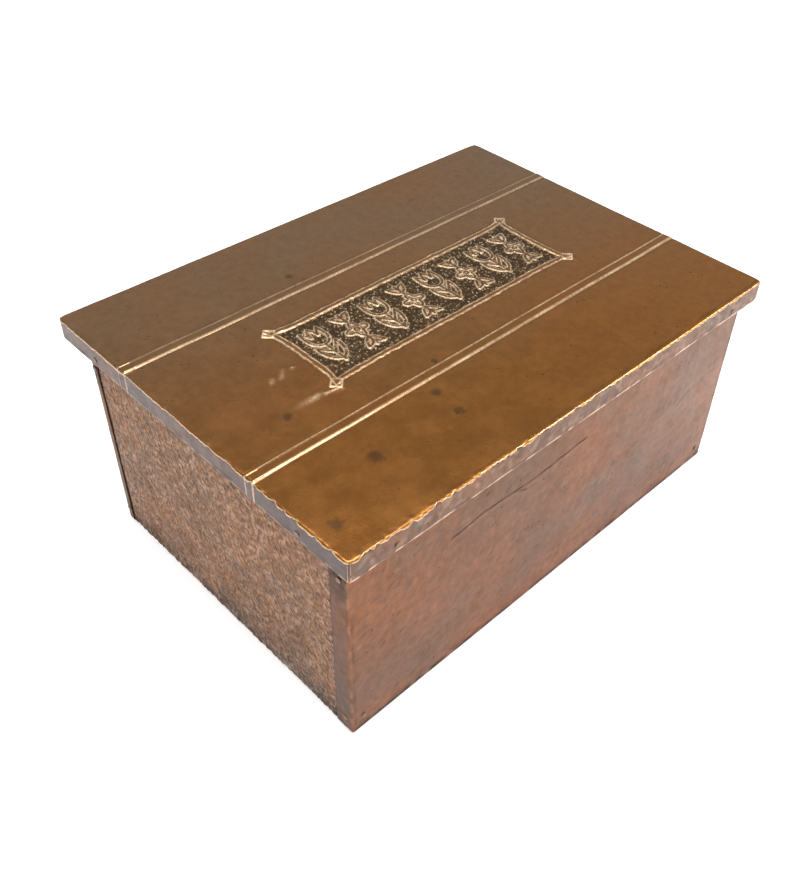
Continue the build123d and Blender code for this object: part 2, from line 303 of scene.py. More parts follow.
def back_up(sheet, thickness):
    """Gives an open sheet its inner side, a copy set back by the thickness, and joins their rims.

    The inner side is flat wherever the sheet is, so its flat faces become one face each.
    """
    sheet.normal_update()
    skin = sheet.verts.layers.float.new("skin")
    for v in sheet.verts:
        v[skin] = 1.0
    rim = [e for e in sheet.edges if e.is_boundary]
    copy = bmesh.ops.duplicate(sheet, geom=sheet.verts[:] + sheet.edges[:] + sheet.faces[:])
    inner_verts = [g for g in copy["geom"] if isinstance(g, bmesh.types.BMVert)]
    inner_faces = [g for g in copy["geom"] if isinstance(g, bmesh.types.BMFace)]
    inner_rim = [g for g in copy["geom"] if isinstance(g, bmesh.types.BMEdge) and g.is_boundary]
    set_back = [v.normal * thickness for v in inner_verts]
    for v, step in zip(inner_verts, set_back):
        v[skin] = 0.0
        v.co -= step
    bmesh.ops.reverse_faces(sheet, faces=inner_faces)
    for loop_edges in loops_of(rim):
        near = loop_edges[0].verts[0].co
        partner = min(loops_of(inner_rim),
                      key=lambda edges: min((v.co - near).length for e in edges for v in e.verts))
        bmesh.ops.bridge_loops(sheet, edges=loop_edges + partner)
    planes = {}
    for f in inner_faces:
        if max(abs(c) for c in f.normal) > FLAT:
            plane = (*(round(c) for c in f.normal), round(f.normal.dot(f.verts[0].co), 2))
            planes.setdefault(plane, []).append(f)
    for faces in planes.values():
        if len(faces) > FEW:
            bmesh.ops.dissolve_faces(sheet, faces=faces, use_verts=False)
    bmesh.ops.recalc_face_normals(sheet, faces=sheet.faces)

# %% Finishing and working a sheet
def piece(name, sheet, body, material, replaced):
    """Makes the finished mesh an object in metres that rides on a body, in place of a CAD node."""
    bmesh.ops.scale(sheet, vec=(MM, MM, MM), verts=sheet.verts)
    mesh = bpy.data.meshes.new(name)
    sheet.to_mesh(mesh)
    sheet.free()
    mesh.shade_smooth()
    mesh.materials.append(material)
    thing = new_object(name, mesh)
    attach(thing, body)
    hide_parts(replaced)
    print(name, sum(len(p.vertices) - 2 for p in mesh.polygons), "triangles")
    return thing


def numbers(source, field, count, width=1):
    """One field of a mesh's vertices as an array."""
    values = np.empty(count * width, dtype=np.float32)
    source.foreach_get(field, values)
    return values.reshape(-1, width) if width > 1 else values


def read(thing):
    """The mesh's places in millimetres, its normals, and which vertices are its outer skin."""
    mesh = thing.data
    count = len(mesh.vertices)
    places = numbers(mesh.vertices, "co", count, 3).astype(float) / MM
    normals = numbers(mesh.vertices, "normal", count, 3).astype(float)
    return places, normals, numbers(mesh.attributes["skin"].data, "value", count) > 0.5


def work(thing, places, outer, directions, heights, marks):
    """Pushes the outer vertices along directions by heights, and stores marks for the material."""
    mesh = thing.data
    places = places.copy()
    places[outer] += directions * heights[:, None]
    mesh.vertices.foreach_set("co", (places * MM).astype(np.float32).ravel())
    for mark, values in marks.items():
        layer = mesh.attributes.new(mark, "FLOAT", "POINT")
        full = np.zeros(len(mesh.vertices), dtype=np.float32)
        full[outer] = values
        layer.data.foreach_set("value", full)
    mesh.update()

# %% [markdown]
# ## Shared effects
#
# Every copper surface has the same three effects: tones that drift from brown to orange to grey,
# small marks left by the hammer and by use, and spots. Each is a node group, made once and placed
# in each material with its own values.

# %% Helpers for effects
NUMBER, COLOUR, VECTOR = "NodeSocketFloat", "NodeSocketColor", "NodeSocketVector"


def group(name, inputs, outputs):
    """An empty node group with inputs, given as (name, kind, default), and outputs."""
    tree = bpy.data.node_groups.new(name, "ShaderNodeTree")
    for label, kind, default in inputs:
        socket = tree.interface.new_socket(label, in_out="INPUT", socket_type=kind)
        if default is not None:
            socket.default_value = default
    for label, kind in outputs:
        tree.interface.new_socket(label, in_out="OUTPUT", socket_type=kind)
    return tree, add(tree, "NodeGroupInput").outputs, add(tree, "NodeGroupOutput").inputs


def use(tree, effect, inputs):
    """Places a node group in a tree and gives its outputs."""
    return add(tree, "ShaderNodeGroup", inputs, node_tree=effect).outputs


def mix_colour(tree, share, first, second, blend="MIX"):
    """The colour between first and second."""
    mixed = add(tree, "ShaderNodeMix", {0: share, 6: first, 7: second}, data_type="RGBA", blend_type=blend)
    return mixed.outputs[2]


def maths(tree, operation, first, second, clamp=False):
    """A number worked out from two numbers or sockets."""
    worked = add(tree, "ShaderNodeMath", {0: first, 1: second}, operation=operation, use_clamp=clamp)
    return worked.outputs[0]


def times(tree, first, second, clamp=False):
    """The product of two numbers or sockets."""
    return maths(tree, "MULTIPLY", first, second, clamp)


def plus(tree, first, second, clamp=False):
    """The sum of two numbers or sockets."""
    return maths(tree, "ADD", first, second, clamp)


def stretch(tree, value, low, high, to_low=0.0, to_high=1.0):
    """A value moved from one range to another, and kept inside it."""
    return add(tree, "ShaderNodeMapRange", {"Value": value, "From Min": low, "From Max": high,
                                            "To Min": to_low, "To Max": to_high}).outputs["Result"]


def cloud(tree, vector, scale, detail=4.0, roughness=0.55, distortion=0.0):
    """A noise value from 0 to 1."""
    return add(tree, "ShaderNodeTexNoise", {"Vector": vector, "Scale": scale, "Detail": detail,
                                            "Roughness": roughness, "Distortion": distortion}).outputs["Fac"]


def pocks(tree, vector, scale):
    """Distance to the nearest of scattered points."""
    return add(tree, "ShaderNodeTexVoronoi", {"Vector": vector, "Scale": scale}).outputs["Distance"]

# %% Drifting tones
tones, given, out = group(
    "patina_tones",
    [("Vector", VECTOR, None), ("Size", NUMBER, 12.0),
     ("Main", COLOUR, None), ("Warm", COLOUR, None), ("Cool", COLOUR, None),
     ("Warmth", NUMBER, 0.5), ("Coolness", NUMBER, 0.4), ("Mottle", NUMBER, 0.2)],
    [("Color", COLOUR)])
vector, size = given["Vector"], given["Size"]
broad = cloud(tones, vector, size, 5.0, 0.6, 0.6)
moved = add(tones, "ShaderNodeVectorMath", {0: vector, 1: (3.1, 1.7, 0.4)}, operation="ADD").outputs["Vector"]
other = cloud(tones, moved, times(tones, size, 1.7), 5.0, 0.6, 0.4)
fine = cloud(tones, vector, times(tones, size, 22.0), 3.0, 0.7)
warm = times(tones, stretch(tones, broad, 0.42, 0.68), given["Warmth"])
cool = times(tones, stretch(tones, other, 0.48, 0.72), given["Coolness"])
colour = mix_colour(tones, warm, given["Main"], given["Warm"])
colour = mix_colour(tones, cool, colour, given["Cool"])
level = plus(tones, times(tones, stretch(tones, fine, 0.3, 0.7, -1.0, 1.0), given["Mottle"]), 1.0)
grey = add(tones, "ShaderNodeCombineColor", {"Red": level, "Green": level, "Blue": level}).outputs["Color"]
connect(tones, out["Color"], mix_colour(tones, 1.0, colour, grey, "MULTIPLY"))
print("tones:", len(tones.nodes), "nodes")

# %% Small marks
marks, given, out = group(
    "hammer_and_use_marks",
    [("Vector", VECTOR, None), ("Size", NUMBER, 300.0)],
    [("Height", NUMBER), ("Scratch", NUMBER), ("Pit", NUMBER)])
vector, size = given["Vector"], given["Size"]
dents = pocks(marks, vector, size)
grit = cloud(marks, vector, times(marks, size, 2.6), 4.0, 0.6)
pits = pocks(marks, vector, times(marks, size, 0.45))
pitted = cloud(marks, vector, times(marks, size, 0.12), 2.0)
pit = times(marks, stretch(marks, pits, 0.2, 0.08), stretch(marks, pitted, 0.52, 0.62))
drawn = add(marks, "ShaderNodeMapping",
            {"Vector": vector, "Rotation": (0.3, 0.5, 0.6), "Scale": (1.0, 12.0, 3.0)}).outputs["Vector"]
lines = cloud(marks, drawn, times(marks, size, 0.35), 2.0, 0.5)
height = plus(marks, times(marks, dents, 0.6), times(marks, grit, 0.5))
connect(marks, out["Height"], maths(marks, "SUBTRACT", height, times(marks, pit, 1.2)))
connect(marks, out["Scratch"], stretch(marks, lines, 0.74, 0.84))
connect(marks, out["Pit"], pit)
print("marks:", len(marks.nodes), "nodes")

# %% Spots
spot, given, out = group(
    "spot",
    [("Vector", VECTOR, None), ("Centre", VECTOR, None), ("Radius", NUMBER, 0.005)],
    [("Mask", NUMBER)])
wander = cloud(spot, given["Vector"], 260.0, 3.0, 0.6)
gap = add(spot, "ShaderNodeVectorMath", {0: given["Vector"], 1: given["Centre"]}, operation="DISTANCE")
share = maths(spot, "DIVIDE", gap.outputs["Value"], given["Radius"])
share = plus(spot, share, times(spot, wander, 1.3))
connect(spot, out["Mask"], stretch(spot, share, 1.75, 1.2))
print("spot:", len(spot.nodes), "nodes")

# %% [markdown]
# ## Old copper
#
# Copper left alone for a century turns brown, and stays bright only where hands and cloths keep
# rubbing it: along raised lines and folded edges. The meshes store that as two marks on their
# vertices, and the material reads them: one mark is wear together with painted highlight, the other
# is grime together with painted shade. The colour sits in a metal, because the brown skin is thin
# and the metal's gloss shows through it.

# %% Old copper
def object_place(tree):
    """The place on the piece, which no pose or view moves."""
    return add(tree, "ShaderNodeTexCoord").outputs["Object"]


def old_copper(name, main, warm, cool, wear_and_highlight_colour, grime_and_shade, size=12.0, warmth=0.5, coolness=0.4, mottle=0.2,
               roughness=(0.3, 0.5), mark_size=300.0, mark_depth=0.1, spots=(), scatter=0.6,
               far=None, far_way=(0.0, 1.0, 0.0), far_reach=(-0.15, 0.15)):
    """A patinated copper whose tones drift, with worn lines and painted highlights, grime and painted
    shade, small marks and chosen spots.

    Where far is given, the main colour turns into it along far_way, over far_reach.
    """
    material = new_material(name)
    tree = material.node_tree
    place = object_place(tree)
    if far:
        way = add(tree, "ShaderNodeVectorMath", {0: place, 1: far_way}, operation="DOT_PRODUCT")
        main = mix_colour(tree, stretch(tree, way.outputs["Value"], *far_reach), main, far)
    base = use(tree, tones, {"Vector": place, "Size": size, "Main": main, "Warm": warm, "Cool": cool,
                             "Warmth": warmth, "Coolness": coolness, "Mottle": mottle})["Color"]
    small = use(tree, marks, {"Vector": place, "Size": mark_size})
    # two marks from the mesh: wear together with painted highlight, and grime together with painted shade
    wear_and_highlight = add(tree, "ShaderNodeAttribute", attribute_name="wear_and_highlight").outputs["Fac"]
    darkening = add(tree, "ShaderNodeAttribute", attribute_name="grime_and_shade").outputs["Fac"]
    patchy = stretch(tree, cloud(tree, place, 380.0, 3.0, 0.6), 0.25, 0.6, 0.35, 1.0)
    wear_and_highlight = times(tree, wear_and_highlight, patchy, clamp=True)
    dark = maths(tree, "MAXIMUM", darkening, times(tree, small["Pit"], 0.75), clamp=True)
    for *centre, radius in spots:
        mask = use(tree, spot, {"Vector": place, "Centre": [c * MM for c in centre], "Radius": radius * MM})
        base = mix_colour(tree, times(tree, mask["Mask"], 0.5), base, SPOT)
    # painted shade and grime darken the colour, then painted highlight and wear lighten it
    colour = mix_colour(tree, dark, base, grime_and_shade)
    colour = mix_colour(tree, wear_and_highlight, colour, wear_and_highlight_colour)
    colour = mix_colour(tree, times(tree, small["Scratch"], 0.35), colour, grime_and_shade)
    finish = stretch(tree, cloud(tree, place, size * 6.0, 4.0, 0.6), 0.3, 0.7, *roughness)
    finish = maths(tree, "SUBTRACT", finish, times(tree, wear_and_highlight, 0.08))
    finish = plus(tree, finish, times(tree, dark, 0.2), clamp=True)
    bump = add(tree, "ShaderNodeBump",
               {"Height": small["Height"], "Strength": mark_depth, "Distance": MM}).outputs["Normal"]
    metal = maths(tree, "SUBTRACT", 1.0, times(tree, wear_and_highlight, scatter))
    surface(tree, {"Base Color": colour, "Metallic": metal, "Roughness": finish, "Normal": bump})
    print(name, "of", len(tree.nodes), "nodes")
    return material

# %% The lid's coppers
# CREAM is the lid's bright colour for worn lines, and it also paints their highlights
CREAM = (0.95, 0.72, 0.47, 1.0)
SPOT = (0.05, 0.05, 0.045, 1.0)
LID_SPOTS = (            # x, y, z and radius
    (-146, -103, 190, 6), (-76, -108, 190, 4.5), (-74, -84, 190, 4.5), (-163, -38, 190, 4),
    (-201, -130, 190, 5.5), (-51, -59, 190, 3), (-60, 92, 190, 3.5))
lid_copper = old_copper(
    "lid_copper",
    main=(0.46, 0.19, 0.048, 1.0), warm=(0.5, 0.17, 0.04, 1.0), cool=(0.36, 0.19, 0.07, 1.0),
    wear_and_highlight_colour=CREAM, grime_and_shade=(0.03, 0.03, 0.018, 1.0), size=6.0, warmth=0.35, coolness=0.3, mottle=0.1,
    roughness=(0.22, 0.32), mark_size=420.0, mark_depth=0.04, spots=LID_SPOTS,
    far=(0.37, 0.225, 0.125, 1.0), far_way=(0.12, 0.99, 0.0), far_reach=(-0.1, 0.12))
edging_copper = old_copper(
    "edging_copper",
    main=(0.17, 0.092, 0.058, 1.0), warm=(0.23, 0.095, 0.045, 1.0), cool=(0.12, 0.095, 0.085, 1.0),
    wear_and_highlight_colour=(0.95, 0.64, 0.46, 1.0), grime_and_shade=(0.035, 0.02, 0.018, 1.0), size=14.0, coolness=0.7,
    roughness=(0.3, 0.45),
    far=(0.1, 0.073, 0.068, 1.0), far_way=(-1.0, 0.0, 0.0), far_reach=(0.2130, 0.2145))

# %% The walls' coppers
hammered_copper = old_copper(
    "hammered_copper",
    main=(0.14, 0.064, 0.03, 1.0), warm=(0.24, 0.085, 0.023, 1.0), cool=(0.115, 0.072, 0.05, 1.0),
    wear_and_highlight_colour=(0.58, 0.36, 0.23, 1.0), grime_and_shade=(0.02, 0.01, 0.006, 1.0), size=9.0, warmth=0.75, mottle=0.3,
    mark_size=500.0, mark_depth=0.16, roughness=(0.28, 0.42), scatter=0.2,
    far=(0.085, 0.068, 0.066, 1.0), far_way=(0.0, 0.0, -1.0), far_reach=(-0.026, -0.002))
planished_copper = old_copper(
    "planished_copper",
    main=(0.15, 0.07, 0.038, 1.0), warm=(0.225, 0.077, 0.025, 1.0), cool=(0.13, 0.082, 0.058, 1.0),
    wear_and_highlight_colour=(0.5, 0.31, 0.21, 1.0), grime_and_shade=(0.035, 0.02, 0.012, 1.0),
    size=7.0, warmth=0.85, coolness=0.65, mottle=0.25,
    mark_size=380.0, mark_depth=0.06, roughness=(0.28, 0.42), scatter=0.2,
    far=(0.25, 0.085, 0.03, 1.0), far_way=(0.0, 0.0, -1.0), far_reach=(-0.03, -0.006))

# %% [markdown]
# ## The lid's top sheet
#
# The top is one sheet. Two raised bands cross it, a framed panel is beaten up from behind between
# them, and its raw edge is turned down over the edging all round, where years of knocks have
# crumpled it. The blank is a coarse grid, divided again only where the work is fine, so that the
# triangles are spent on the panel, the bands and the edges.

# %% The lid's top sheet: the blank
ARRIS = 1.6
SPARE = 2.6              # the flat sheet between the blank's rim and the arris
TOP_SHEET = 0.4
TOP_LEVEL = LID_TOP + 0.15
TOP_X, TOP_Y = LID_X + 0.2, LID_Y - 0.05
flat_x, flat_y = TOP_X - ARRIS - SPARE, TOP_Y - ARRIS - SPARE
PANEL_MID = (4.3, 5.4)
PANEL_HALF = (119.3, 35.1)
COARSE = 4.0


def refine(sheet, chosen, cuts):
    """Divides the edges of every face whose centre is chosen."""
    faces = [f for f in sheet.faces if chosen(f.calc_center_median())]
    edges = list({e for f in faces for e in f.edges})
    bmesh.ops.subdivide_edges(sheet, edges=edges, cuts=cuts, use_grid_fill=True, use_single_edge=True)


top = grid(line_up(-flat_x, flat_x, COARSE), line_up(-flat_y, flat_y, COARSE))
refine(top, lambda c: (abs(c.x - PANEL_MID[0]) < PANEL_HALF[0] + 12
                       and abs(c.y - PANEL_MID[1]) < PANEL_HALF[1] + 9), 5)
refine(top, lambda c: min(abs(c.y - b) for b in BAND_Y) < 8, 3)
refine(top, lambda c: c.y < -flat_y + 9, 4)
refine(top, lambda c: c.x < -flat_x + 5 and c.y >= -flat_y + 9, 4)
print("blank:", len(top.faces), "faces")

# %% Growing a sheet from its rim
def rim_facts(sheet, half_x, half_y, radius):
    """For each rim vertex of a rectangular blank, the direction in which it is folded over."""
    facts = {}
    for v in {v for e in sheet.edges if len(e.link_faces) < 2 for v in e.verts}:
        to_x, to_y = half_x - abs(v.co.x), half_y - abs(v.co.y)
        turn = 0.0 if to_y < to_x else 90.0
        near = max(to_x, to_y)
        if near < radius:
            turn += (45.0 if turn == 0.0 else -45.0) * (1 - near / radius)
        turn = math.radians(turn)
        facts[v] = (v.co.copy(), Vector((math.copysign(math.sin(turn), v.co.x),
                                         math.copysign(math.cos(turn), v.co.y), 0)))
    return facts


def grow_rim(sheet, facts, place):
    """Extrudes the rim once; place gives each new vertex from the rim's start and direction."""
    rim = [e for e in sheet.edges if all(v in facts for v in e.verts) and len(e.link_faces) < 2]
    grown = bmesh.ops.extrude_edge_only(sheet, edges=rim)
    new = [g for g in grown["geom"] if isinstance(g, bmesh.types.BMVert)]
    later = {}
    for v in new:
        old = next(e.other_vert(v) for e in v.link_edges if e.other_vert(v) in facts)
        later[v] = facts[old]
    for v in new:
        v.co = place(*later[v])
    return later

# %% The lid's top sheet: turning down the edge
QUARTER_ARRIS = ARRIS * math.pi / 2
RIM_CORNER = 3.0         # the rim's direction turns over this length at a corner
TURN_DOWN = ((0.2, 0.0), (0.4, 0.0), (0.58, 0.0), (0.74, 0.0), (0.86, 0.35), (1.0, 1.0))


def cut_length(start):
    """How much sheet there is past the blank's rim: uneven at the front and left."""
    p = Vector((start.x, start.y, 0))
    wave = noise.noise(p / 19) * 1.9 + noise.noise(p / 6.5 + Vector((9, 4, 1))) * 1.9 + noise.noise(p / 2.8)
    if start.y < -flat_y + 0.01:
        calm = 1.0 - 0.5 * max(0.0, min(1.0, (start.x + 70) / 150))
    elif start.x < -flat_x + 0.01:
        calm = 0.4 + 0.5 * max(0.0, min(1.0, (-40 - start.y) / 60))
    else:
        calm = 0.2
    return max(0.7, SPARE + QUARTER_ARRIS * 0.75 + (1 - calm) * 0.9 + 1.35 * wave * calm)


def over_edge(start, out, length):
    """A place at a length past the blank's rim: along the flat, over the arris, down the side."""
    if length < SPARE:
        return start + out * length
    if length < SPARE + QUARTER_ARRIS:
        a = (length - SPARE) / ARRIS
        return start + out * (SPARE + ARRIS * math.sin(a)) - Vector((0, 0, ARRIS * (1 - math.cos(a))))
    return start + out * (SPARE + ARRIS) - Vector((0, 0, ARRIS + length - SPARE - QUARTER_ARRIS))


raw = top.verts.layers.float.new("raw")
facts = rim_facts(top, flat_x, flat_y, RIM_CORNER)
for share, bright in TURN_DOWN:
    facts = grow_rim(top, facts, lambda start, out: over_edge(start, out, share * cut_length(start)))
    for v in facts:
        v[raw] = bright
bmesh.ops.translate(top, vec=(0, 0, TOP_LEVEL), verts=top.verts)
face_outwards(top, 2, 1)
back_up(top, TOP_SHEET)
lid_top = piece("lid_copper_top", top, "lid", lid_copper, "lid_copper_sheet")

# %% [markdown]
# ### What is beaten into the panel
#
# Inside the frame stands a row of tulips and rosettes. Each is a few curves, and a curve is raised
# as a flat strip with a crisp lip on each side, which is how a chaser outlines a shape with a
# tracing tool. Round them the ground is stippled with a point and set back, and it holds the dirt
# that makes the shapes stand out.

# %% The panel's motifs
def along(points):
    """A dense run of points along straight pieces."""
    run = []
    for a, b in zip(points, points[1:]):
        steps = max(2, round(math.dist(a, b) / 0.5))
        run += [tuple(np.array(a) + (np.array(b) - np.array(a)) * i / steps) for i in range(steps + 1)]
    return run


def flowing(points):
    """A smooth run of points through a few chosen ones."""
    points = [np.array(p, float) for p in points]
    padded = [2 * points[0] - points[1]] + points + [2 * points[-1] - points[-2]]
    run = []
    for a, b, c, d in zip(padded, padded[1:], padded[2:], padded[3:]):
        for t in np.linspace(0, 1, 13):
            run.append(tuple(0.5 * (2 * b + (c - a) * t + (2 * a - 5 * b + 4 * c - d) * t * t
                                    + (3 * b - a - 3 * c + d) * t ** 3)))
    return along(run)


def both_ways(run):
    """A run and its mirror image."""
    return run + [(-x, y) for x, y in run]


def tulip():
    """A tulip with three petals, a stem and two leaves."""
    petals = flowing([(0, 1), (-5, 3), (-8.2, 10), (-7.6, 21)])
    petals += flowing([(-7.6, 21), (-4.5, 16.5), (-3.2, 13)])
    middle = flowing([(-3.2, 13), (-2.4, 18), (0, 22.5)])
    leaves = flowing([(0, -19), (-5.5, -14.5), (-8.6, -6), (-8.8, 1)])
    leaves += flowing([(-8.8, 1), (-4, -5), (0, -10)])
    return both_ways(petals + middle + leaves) + along([(0, 1), (0, -21)])


def rosette():
    """A flower with four petals between two pairs of leaves."""
    turns = [math.tau * i / 72 for i in range(73)]
    petals = along([((6.6 + 2.3 * math.cos(4 * t)) * math.sin(t), (6.6 + 2.3 * math.cos(4 * t)) * math.cos(t))
                    for t in turns])
    eye = along([(1.7 * math.sin(t), 1.7 * math.cos(t)) for t in turns[::6]])
    leaves = flowing([(0, 12), (-4, 15), (-7.4, 21.5)]) + flowing([(-7.4, 21.5), (-2.6, 20), (0, 16)])
    leaves = both_ways(leaves) + along([(0, 9), (0, 22)])
    return petals + eye + leaves + [(x, -y) for x, y in leaves]

# %% The panel's row and its corner lugs
MOTIFS = 8
PITCH = 28.2
LUG = 5.4                # from a lug's middle to its corners


def tree_of(points):
    """A search tree that finds the nearest of the points."""
    tree = kdtree.KDTree(len(points))
    for index, (x, y) in enumerate(points):
        tree.insert((x, y, 0), index)
    tree.balance()
    return tree


row = []
for index in range(MOTIFS):
    middle = PANEL_MID[0] + (index - (MOTIFS - 1) / 2) * PITCH
    shape = tulip() if index % 2 == 0 else rosette()
    row += [(middle + x, PANEL_MID[1] + y * 1.02) for x, y in shape]
lugs = []
for sx in (-1, 1):
    for sy in (-1, 1):
        cx = PANEL_MID[0] + sx * (PANEL_HALF[0] + 2.0)
        cy = PANEL_MID[1] + sy * (PANEL_HALF[1] + 2.2)
        lugs += along([(cx + LUG, cy), (cx, cy + LUG), (cx - LUG, cy), (cx, cy - LUG), (cx + LUG, cy)])
row_tree, lug_tree = tree_of(row), tree_of(lugs)
print("points on the motifs", len(row), "and on the lugs", len(lugs))

# %% The lid's top sheet: its bands
BAND_HALF = 3.9
BAND_LIP = 0.9
places, normals, outer = read(lid_top)
p = places[outer]
x, y = p[:, 0], p[:, 1]
flat = np.column_stack([x, y, 0 * x])
down_the_band = np.column_stack([x, 0 * x, 0 * x])
height = 0.22 * rough(flat, 70, 1) + 0.1 * rough(flat, 24, 2) + 0.03 * rough(flat, 7, 3)
height += 0.035 * (cells(flat, 11.0, 4)[0] ** 2 - 0.2)
wear_and_highlight = np.zeros(len(p))
grime_and_shade = np.zeros(len(p))
wobble = 0.35 * rough(down_the_band, 40, 5) + 0.15 * rough(down_the_band, 9, 6)
for band in BAND_Y:
    t = y - band - wobble
    height += raised_strip(abs(t), BAND_HALF, 0.42, 0.34, BAND_LIP)
    height -= 0.22 * ridge(t + 5.6, 0.7) + 0.1 * ridge(t - 5.6, 0.7)
    worn = 0.85 + 0.35 * rough(flat, 22, 27) - (0.15 if band > 0 else 0.0)
    # bright lines along each band's front and rear edges: wear and painted highlight
    wear_and_highlight = np.maximum(wear_and_highlight, worn * ridge(t + BAND_HALF, 0.9))
    wear_and_highlight = np.maximum(wear_and_highlight, worn * ridge(t - 3.8, 0.65))
    # painted shade in the grooves in front of and behind each band
    grime_and_shade = np.maximum(grime_and_shade, 0.5 * ridge(t + 5.8, 0.7))
    grime_and_shade = np.maximum(grime_and_shade, 0.25 * ridge(t - 5.4, 0.6))
print("sheet from", round(height.min(), 2), "to", round(height.max(), 2), "mm")

# %% The lid's top sheet: where the panel's lines run
FAR_OFF = 99.0           # a distance that puts a line out of reach
sx = np.clip((x - PANEL_MID[0]) / PANEL_HALF[0], -1.1, 1.1)
sy = np.clip((y - PANEL_MID[1]) / PANEL_HALF[1], -1.1, 1.1)
edge_wave = 0.6 * rough(flat, 9, 7) + 0.5 * rough(flat, 3.2, 8)
out_x = abs(x - PANEL_MID[0]) - PANEL_HALF[0] - 2.6 * abs(sy) ** 4 + 1.6 + edge_wave
out_y = abs(y - PANEL_MID[1]) - PANEL_HALF[1] - 2.2 * abs(sx) ** 14 + 0.8 + edge_wave
inside = -np.maximum(out_x, out_y)
frame_line = np.where(inside > -4, abs(inside), 9.0)
motif = np.array([row_tree.find((a, b, 0))[2] if i > 0 else FAR_OFF for a, b, i in zip(x, y, inside)])
motif = motif + 0.2 * edge_wave
by_panel = (abs(x) < 150) & (abs(y) < 60)
lug = np.array([lug_tree.find((a, b, 0))[2] if near else FAR_OFF for a, b, near in zip(x, y, by_panel)])
print("places inside the frame", int((inside > 0).sum()))

# %% The lid's top sheet: beating the panel
FRAME_HALF = 2.3
MOTIF_HALF = 1.75
PUNCH = 1.75             # between one mark of the pointed punch and the next
ground = ease((inside - 2.6) / 0.8)
height -= 0.22 * ground
punched = cells(flat, PUNCH, 9)[0]
height -= 0.2 * ground * (1 - ease(punched / 0.55))
height += raised_strip(frame_line, FRAME_HALF, 0.38, 0.3)
height += ground * raised_strip(motif, MOTIF_HALF, 0.45, 0.35)
outside = ease((-inside + 1.5) / 2)
height += 0.75 * ridge(lug, 0.8) * outside
frame_lip = ridge(frame_line - 2.0, 0.6) * (0.95 + 0.6 * rough(flat, 5, 24))
motif_lip = ground * ridge(motif - 1.45, 0.48) * (0.9 + 0.5 * rough(flat, 4, 25))
lips = np.maximum(np.maximum(frame_lip, motif_lip), ridge(lug, 0.7) * outside)
# the lips of the frame, motifs and lugs are bright: wear and painted highlight
wear_and_highlight = np.maximum(wear_and_highlight, 0.95 * lips)
# bright specks in the punched ground: worn points and painted glints
bright_dots = ground * ease((0.48 - punched) / 0.25) * ease((rough(flat, 2.6, 10) + 0.06) * 4)
wear_and_highlight = np.maximum(wear_and_highlight, 0.8 * bright_dots)
darkening = ground * (0.86 - 0.3 * ease((1.9 - motif) / 0.6)) * (1 - 0.35 * ease(rough(flat, 2.2, 11) * 2))
grime_and_shade = np.maximum(np.maximum(grime_and_shade, darkening), 0.5 * ridge(inside + 3.4, 0.8))
print("relief from", round(height.min(), 2), "to", round(height.max(), 2), "mm")

# %% The lid's top sheet: creases, scuffs and the crumpled edge
def distance_to(points, x, y):
    """Distance of places to a line through given points."""
    best = np.full(len(x), 1e9)
    for (ax, ay), (bx, by) in zip(points, points[1:]):
        length = math.dist((ax, ay), (bx, by)) ** 2
        t = np.clip(((x - ax) * (bx - ax) + (y - ay) * (by - ay)) / length, 0, 1)
        best = np.minimum(best, np.hypot(x - ax - t * (bx - ax), y - ay - t * (by - ay)))
    return best


crease = distance_to([(-119, -37), (-127, -36), (-138, -34), (-160, -33)], x, y)
fade = ease((x + 165) / 40)
height += 0.35 * ridge(crease, 1.2) * fade
wear_and_highlight = np.maximum(wear_and_highlight, 0.9 * ridge(crease, 0.9) * fade)
scuff = ridge(distance_to([(-152, -4), (-128, 2)], x, y), 1.8)
wear_and_highlight = np.maximum(wear_and_highlight, 0.8 * scuff * ease(rough(flat, 2.2, 26) * 3))
height += 0.25 * ridge(distance_to([(132, 43), (146, 40), (162, 35)], x, y), 1.6)
TIDE = [(-208, -147), (-190, -141), (-172, -143), (-150, -146), (-128, -150)]
grime_and_shade = np.maximum(grime_and_shade, 0.3 * ridge(distance_to(TIDE, x + 2 * rough(flat, 11, 12), y), 0.9))
to_front, to_left = y + TOP_Y, x + TOP_X
knock = ease(1 - to_front / 7) * (0.7 + 0.3 * rough(flat, 14, 13))
height += knock * (0.45 * rough(flat, 5, 14) + 0.25 * rough(flat, 2.2, 15))
height += ease(1 - to_left / 4) * 0.3 * rough(flat, 5, 16)
dirty_line = ridge(to_front - 3.3 - 1.2 * rough(flat, 9, 19), 0.9)
grime_and_shade = np.maximum(grime_and_shade, 0.55 * dirty_line * ease(0.6 + rough(flat, 22, 20)))
drop = TOP_LEVEL - p[:, 2]
raw_edge = numbers(lid_top.data.attributes["raw"].data, "value", len(places))
# a bright raw edge and turned-down edge: wear and painted highlight
wear_and_highlight = np.maximum(wear_and_highlight, raw_edge[outer] * (1.0 + 0.3 * rough(p, 8, 17)))
wear_and_highlight = np.maximum(wear_and_highlight, 0.5 * ease((drop - 0.35) / 1.0) * ease(0.1 + rough(p, 9, 18) * 1.6))
height = np.clip(height, -0.3, np.where(drop > 0.05, 0.3, LID_TOP + 0.95 - p[:, 2]))
on_side = abs(normals[outer][:, :2]).max(axis=1) > 0.5
height = np.where(on_side, np.clip(height, -0.2, 0.13), height)
work(lid_top, places, outer, normals[outer], height, {"wear_and_highlight": wear_and_highlight, "grime_and_shade": grime_and_shade})
print("worked", int(outer.sum()), "places of the top")

# %% [markdown]
# ## The lid's edging
#
# A strip of copper runs round the lid's edge under the top sheet and is turned under the boards.
# The bands of the top carry on down its two ends. It is made from a loop of edges that is extruded
# downwards, row by row, round the bottom fold and in under the lid.

